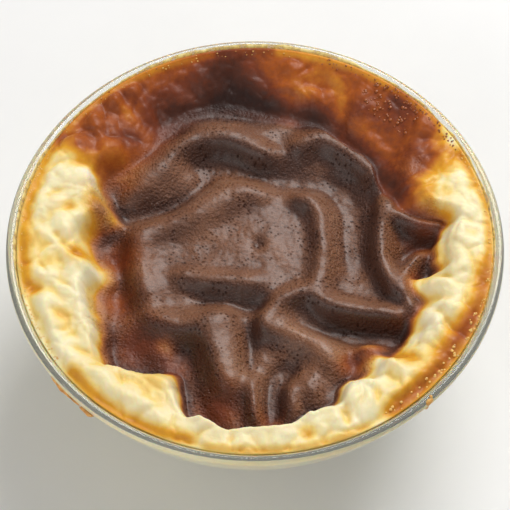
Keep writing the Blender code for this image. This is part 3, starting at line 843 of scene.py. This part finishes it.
class FilmSettings(bpy.types.PropertyGroup):
    thickness: number("Film Thickness", "Thickness of the dried milk", 0.00012, "LENGTH")
    light: colour("Light Film", "Thin golden film", (0.86, 0.66, 0.26))
    dark: colour("Dark Film", "Browned film", (0.62, 0.34, 0.07))


class BeadSettings(bpy.types.PropertyGroup):
    amount: number("Amount", "Share of the beads made", 1.0)
    seed: bpy.props.IntProperty(name="Seed", description="Another number scatters them anew", default=7)
    light: colour("Light Beads", "Clear golden sugar", (0.86, 0.50, 0.13))
    dark: colour("Dark Beads", "Burnt sugar", (0.30, 0.075, 0.012))


class DripSettings(bpy.types.PropertyGroup):
    light: colour("Light Drip", "Orange baked milk", (0.84, 0.46, 0.12))
    dark: colour("Dark Drip", "Burnt milk", (0.52, 0.22, 0.035))


class StageSettings(bpy.types.PropertyGroup):
    floor_colour: colour("Floor", "Colour of the pale table top", (0.85, 0.848, 0.843))
    key_power: number("Key Light", "Power of the main soft light", 6.25, "POWER")
    fill_power: number("Fill Light", "Power of the low light from the left", 8.4, "POWER")
    sky_strength: number("Sky", "Strength of the white surroundings", 0.32)


class PuddingScene(bpy.types.PropertyGroup):
    bowl: bpy.props.PointerProperty(type=BowlSettings)
    pudding: bpy.props.PointerProperty(type=PuddingSettings)
    film: bpy.props.PointerProperty(type=FilmSettings)
    beads: bpy.props.PointerProperty(type=BeadSettings)
    drips: bpy.props.PointerProperty(type=DripSettings)
    stage: bpy.props.PointerProperty(type=StageSettings)


# ---------------------------------------------------------------- pieces


class RICEPUDDING_OT_bowl(bpy.types.Operator):
    """Turn the clear glass bowl"""

    bl_idname = "rice_pudding.bowl"
    bl_label = "Glass Bowl"

    def execute(self, context):
        settings = context.scene.rice_pudding.bowl
        turned = bmesh.new()
        rows = [turned.verts.new((r * MM, 0.0, z * MM)) for r, z in bowl_profile()]
        edges = [turned.edges.new(pair) for pair in zip(rows, rows[1:])]
        bmesh.ops.spin(
            turned,
            geom=rows + edges,
            cent=(0, 0, 0),
            axis=(0, 0, 1),
            angle=math.tau,
            steps=settings.turn_steps,
            use_merge=True,
        )
        bmesh.ops.remove_doubles(turned, verts=turned.verts, dist=0.000005)
        bmesh.ops.recalc_face_normals(turned, faces=turned.faces)
        piece = finish_piece(turned, "glass_bowl_turned", glass_material(settings))
        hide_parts("glass_bowl")
        return {"FINISHED"}


def disc_point(u, v):
    """Maps a point of the square from -1 to 1 onto the unit disc, with cells of even size."""
    if u == 0.0 and v == 0.0:
        return 0.0, 0.0
    if abs(u) > abs(v):
        radius, angle = u, math.pi / 4 * (v / u)
    else:
        radius, angle = v, math.pi / 2 - math.pi / 4 * (u / v)
    return radius * math.cos(angle), radius * math.sin(angle)


def hollows(edge_radius, x, y):
    """0 to 1 at each point by how far it lies below its surroundings; masks painted shade in hollows."""
    line = np.arange(-edge_radius, edge_radius + HOLLOW_CELL, HOLLOW_CELL)
    gx, gy = np.meshgrid(line, line)
    field = top_surface(gx.ravel(), gy.ravel(), edge_radius)[0].reshape(gx.shape)
    below = np.zeros(field.shape)
    for cells, full, weight in HOLLOW_SIZES:
        below += weight * np.clip((softened(field, cells) - field) / full, 0.0, 1.0)
    below = softened(below, HOLLOW_BLUR)

    column = (x - line[0]) / HOLLOW_CELL
    row = (y - line[0]) / HOLLOW_CELL
    c = np.clip(column.astype(int), 0, len(line) - 2)
    r = np.clip(row.astype(int), 0, len(line) - 2)

    def across(i):
        return below[i, c] + (below[i, c + 1] - below[i, c]) * (column - c)

    return np.clip(across(r) + (across(r + 1) - across(r)) * (row - r), 0.0, 1.0)


class RICEPUDDING_OT_pudding(bpy.types.Operator):
    """Model the pudding, its puffed ring and its browned skin"""

    bl_idname = "rice_pudding.pudding"
    bl_label = "Pudding"

    def execute(self, context):
        settings = context.scene.rice_pudding.pudding
        made = bmesh.new()
        bmesh.ops.create_grid(made, x_segments=settings.cells, y_segments=settings.cells, size=1.0)
        edge_radius = top_radius()
        flat = np.array([disc_point(v.co.x, v.co.y) for v in made.verts]) * edge_radius
        x, y = flat.T
        height, veil, share = top_surface(x, y, edge_radius)
        level = browning(x, y, veil, browned_band(x, y, share), share, hollows(edge_radius, x, y))
        for cx, cy, spread, amount in VEILS:
            veil = np.maximum(veil, amount * patch(x, y, cx, cy, spread))
        for cx, cy, spread, amount in THIN_SKIN:
            veil = veil * (1.0 - amount * patch(x, y, cx, cy, spread))
        for vert, vx, vy, vz in zip(made.verts, x, y, height):
            vert.co = (vx * MM, vy * MM, (BOWL_HEIGHT + vz) * MM)
        top_count = len(made.verts)

        rim_edges = [e for e in made.edges if e.is_boundary]
        for side_height in (*SIDE_LEVELS, BASE_THICKNESS - CONTACT):
            grown = bmesh.ops.extrude_edge_only(made, edges=rim_edges)["geom"]
            rim_edges = [g for g in grown if isinstance(g, bmesh.types.BMEdge) and g.is_boundary]
            radius = side_radius(side_height) * MM
            for vert in {v for e in rim_edges for v in e.verts}:
                scale = radius / math.hypot(vert.co.x, vert.co.y)
                vert.co = (vert.co.x * scale, vert.co.y * scale, side_height * MM)
        bmesh.ops.contextual_create(made, geom=rim_edges)
        bmesh.ops.recalc_face_normals(made, faces=list(made.faces))
        made.verts.ensure_lookup_table()
        low = np.array([made.verts[i].co.z / MM for i in range(top_count, len(made.verts))])

        piece = finish_piece(made, "baked_pudding", pudding_material(settings))
        least, more, depth = SIDE_BROWNING
        sides = least + more * np.exp(-(BOWL_HEIGHT - low) / depth)
        store(piece.data, "browning", np.concatenate([level, sides]))
        store(piece.data, "skin", np.concatenate([veil, sides * 0]))
        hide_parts("pudding")
        return {"FINISHED"}


def glass_edge(bearing, run, off):
    """A point off the glass by off, at run millimetres from the top of its inner face, over the rim."""
    lean, rounding, middle_r, middle_z = rim_section()
    over = min(max(run, 0.0), math.pi * rounding)
    turn = math.pi - lean - over / rounding
    below = -abs(run - over)
    radius = middle_r + (rounding + off) * math.cos(turn) + below * math.sin(lean)
    height = middle_z + (rounding + off) * math.sin(turn) + below * math.cos(lean)
    angle = math.radians(bearing)
    return Vector((radius * math.cos(angle), radius * math.sin(angle), height)) * MM


class RICEPUDDING_OT_film(bpy.types.Operator):
    """Lay the dried milk film on the glass above the pudding"""

    bl_idname = "rice_pudding.film"
    bl_label = "Milk Film"

    def execute(self, context):
        settings = context.scene.rice_pudding.film
        made = bmesh.new()
        bmesh.ops.create_grid(made, x_segments=360, y_segments=5, size=1.0)
        for vert in made.verts:
            bearing, up = 180.0 * vert.co.x, (vert.co.y + 1.0) / 2
            spot = Vector((math.cos(math.radians(bearing)), math.sin(math.radians(bearing)), 0.3))
            ragged = noise.fractal(spot * 9.0, 1.0, 2.0, 4)
            top = FILM_LOW
            for centre, half_width, more in FILM_REACH:
                top += more * near(centre, half_width, bearing)
            top = min(top + 0.45 * ragged, FILM_TOP)
            thin = settings.thickness / MM * (1.0 - 0.6 * up)
            vert.co = glass_edge(bearing, FILM_FOOT + (top - FILM_FOOT) * up, thin)
        bmesh.ops.remove_doubles(made, verts=made.verts, dist=0.000004)
        bmesh.ops.recalc_face_normals(made, faces=made.faces)
        if sum(f.normal.x * f.calc_center_median().x for f in made.faces) > 0:
            bmesh.ops.reverse_faces(made, faces=made.faces)
        bmesh.ops.solidify(made, geom=made.faces, thickness=0.00003)
        finish = caramel_material("dried milk film", settings.light, settings.dark, 0.35)
        finish_piece(made, "milk_film", finish)
        return {"FINISHED"}


class RICEPUDDING_OT_beads(bpy.types.Operator):
    """Scatter the sugar beads at the glass and on the browned slope"""

    bl_idname = "rice_pudding.beads"
    bl_label = "Sugar Beads"

    def execute(self, context):
        settings = context.scene.rice_pudding.beads
        chance = random.Random(settings.seed)
        edge_radius = top_radius()
        beads, tones = [], []
        for first, last, inner, outer, largest, pale, count in BEAD_ZONES:
            for _ in range(int(count * settings.amount)):
                bearing = math.radians(chance.uniform(first, last))
                away = edge_radius - chance.uniform(inner, outer)
                size = chance.uniform(0.35, 1.0) * largest
                beads.append((away * math.cos(bearing), away * math.sin(bearing), size))
                tones.append(pale)
        heights = top_surface(*np.array(beads).T[:2], edge_radius)[0]
        round_bead = bmesh.new()
        bmesh.ops.create_uvsphere(round_bead, u_segments=8, v_segments=5, radius=1.0)
        bead = bpy.data.meshes.new("bead")
        round_bead.to_mesh(bead)
        corners = len(round_bead.verts)
        round_bead.free()
        made = bmesh.new()
        for (x, y, size), z in zip(beads, heights):
            place = Matrix.Translation((x * MM, y * MM, (BOWL_HEIGHT + z) * MM))
            place @= Matrix.Diagonal((size * MM, size * MM, 0.5 * size * MM, 1.0))
            bead.transform(place)
            made.from_mesh(bead)
            bead.transform(place.inverted())
        bpy.data.meshes.remove(bead)
        finish = caramel_material("sugar beads", settings.light, settings.dark, 1.0)
        piece = finish_piece(made, "sugar_beads", finish)
        store(piece.data, "paleness", np.repeat(tones, corners))
        return {"FINISHED"}


class RICEPUDDING_OT_drips(bpy.types.Operator):
    """Bake the drips and the smudge onto the glass"""

    bl_idname = "rice_pudding.drips"
    bl_label = "Drips"

    def execute(self, context):
        settings = context.scene.rice_pudding.drips
        made = bmesh.new()
        for bearing, run, long, tall, thick in DRIPS:
            drip = bmesh.ops.create_icosphere(made, subdivisions=4, radius=1.0)["verts"]
            for vert in drip:
                out, side, up = vert.co
                spot = vert.co * 2.2 + Vector((bearing, run, 0))
                ragged = 1.0 + 0.45 * noise.fractal(spot, 1.0, 2.0, 3)
                turned = bearing + math.degrees(side * long * ragged / RIM_RADIUS)
                vert.co = glass_edge(turned, run + up * tall * ragged, out * thick * ragged)
        bmesh.ops.recalc_face_normals(made, faces=made.faces)
        finish = caramel_material("baked-on drips", settings.light, settings.dark, 1.0)
        finish_piece(made, "glass_drips", finish)
        return {"FINISHED"}


class RICEPUDDING_OT_stage(bpy.types.Operator):
    """Set the pale table top, the soft light and the camera"""

    bl_idname = "rice_pudding.stage"
    bl_label = "Stage"

    def execute(self, context):
        scene = context.scene
        settings = scene.rice_pudding.stage
        made, shader, add, fill = new_material("pale table top")
        place = add("ShaderNodeTexCoord").outputs["Object"]
        veins = add("ShaderNodeTexNoise", place, Scale=9.0, Detail=6.0, Roughness=0.6).outputs["Fac"]
        shade = [c * 0.97 for c in settings.floor_colour]
        tones = ramp(add, veins, (0.4, shade), (0.6, tuple(settings.floor_colour)))
        fill(shader, {"Base Color": tones, "Roughness": 0.55})
        floor_mesh = bpy.data.meshes.new("table_top")
        sheet = bmesh.new()
        bmesh.ops.create_grid(sheet, x_segments=4, y_segments=4, size=1.6)
        sheet.to_mesh(floor_mesh)
        sheet.free()
        floor_mesh.materials.append(made)
        floor = bpy.data.objects.new("table_top", floor_mesh)
        scene.collection.objects.link(floor)

        world = bpy.data.worlds.new("white studio")
        world.use_nodes = True
        sky = world.node_tree.nodes["Background"]
        sky.inputs["Color"].default_value = (1.0, 0.99, 0.97, 1.0)
        sky.inputs["Strength"].default_value = settings.sky_strength
        scene.world = world

        for name, power, tint, wide, tall, bearing, lift, away in (
            ("key", settings.key_power, (1.0, 0.995, 0.99), 0.52, 0.52, 60, 50, 0.85),
            ("fill", settings.fill_power, (1.0, 0.99, 0.97), 1.8, 1.0, 232, 24, 1.4),
        ):
            lamp = bpy.data.lights.new(name, "AREA")
            lamp.energy = power
            lamp.color = tint
            lamp.shape = "RECTANGLE"
            lamp.size = wide
            lamp.size_y = tall
            holder = bpy.data.objects.new(name, lamp)
            turn, rise = math.radians(bearing), math.radians(lift)
            flat = away * math.cos(rise)
            holder.location = (flat * math.cos(turn), flat * math.sin(turn), away * math.sin(rise))
            holder.rotation_mode = "QUATERNION"
            holder.rotation_quaternion = holder.location.to_track_quat("Z", "Y")
            scene.collection.objects.link(holder)

        lens = bpy.data.cameras.new("camera")
        lens.lens = FOCAL_LENGTH
        lens.sensor_width = 36.0
        camera = bpy.data.objects.new("camera", lens)
        camera.location = CAMERA_PLACE
        camera.rotation_mode = "QUATERNION"
        camera.rotation_quaternion = (Vector(CAMERA_AIM) - camera.location).to_track_quat("-Z", "Y")
        scene.collection.objects.link(camera)
        scene.camera = camera
        scene.view_settings.view_transform = "Standard"
        scene.cycles.max_bounces = 24
        scene.cycles.transmission_bounces = 24
        return {"FINISHED"}


class RICEPUDDING_PT_panel(bpy.types.Panel):
    bl_label = "Rice Pudding"
    bl_space_type = "VIEW_3D"
    bl_region_type = "UI"
    bl_category = "Rice Pudding"

    def draw(self, context):
        for step in PuddingScene.__annotations__:
            group = getattr(context.scene.rice_pudding, step)
            column = self.layout.column()
            column.operator(f"rice_pudding.{step}")
            for name in group.__annotations__:
                column.prop(group, name)


CLASSES = (
    BowlSettings,
    PuddingSettings,
    FilmSettings,
    BeadSettings,
    DripSettings,
    StageSettings,
    PuddingScene,
    RICEPUDDING_OT_bowl,
    RICEPUDDING_OT_pudding,
    RICEPUDDING_OT_film,
    RICEPUDDING_OT_beads,
    RICEPUDDING_OT_drips,
    RICEPUDDING_OT_stage,
    RICEPUDDING_PT_panel,
)


def register():
    for made in CLASSES:
        bpy.utils.register_class(made)
    bpy.types.Scene.rice_pudding = bpy.props.PointerProperty(type=PuddingScene)


def unregister():
    del bpy.types.Scene.rice_pudding
    for made in reversed(CLASSES):
        bpy.utils.unregister_class(made)


def main():
    register()
    bpy.ops.rice_pudding.bowl()
    bpy.ops.rice_pudding.pudding()
    bpy.ops.rice_pudding.film()
    bpy.ops.rice_pudding.beads()
    bpy.ops.rice_pudding.drips()
    bpy.ops.rice_pudding.stage()


if __name__ == "__main__":
    main()
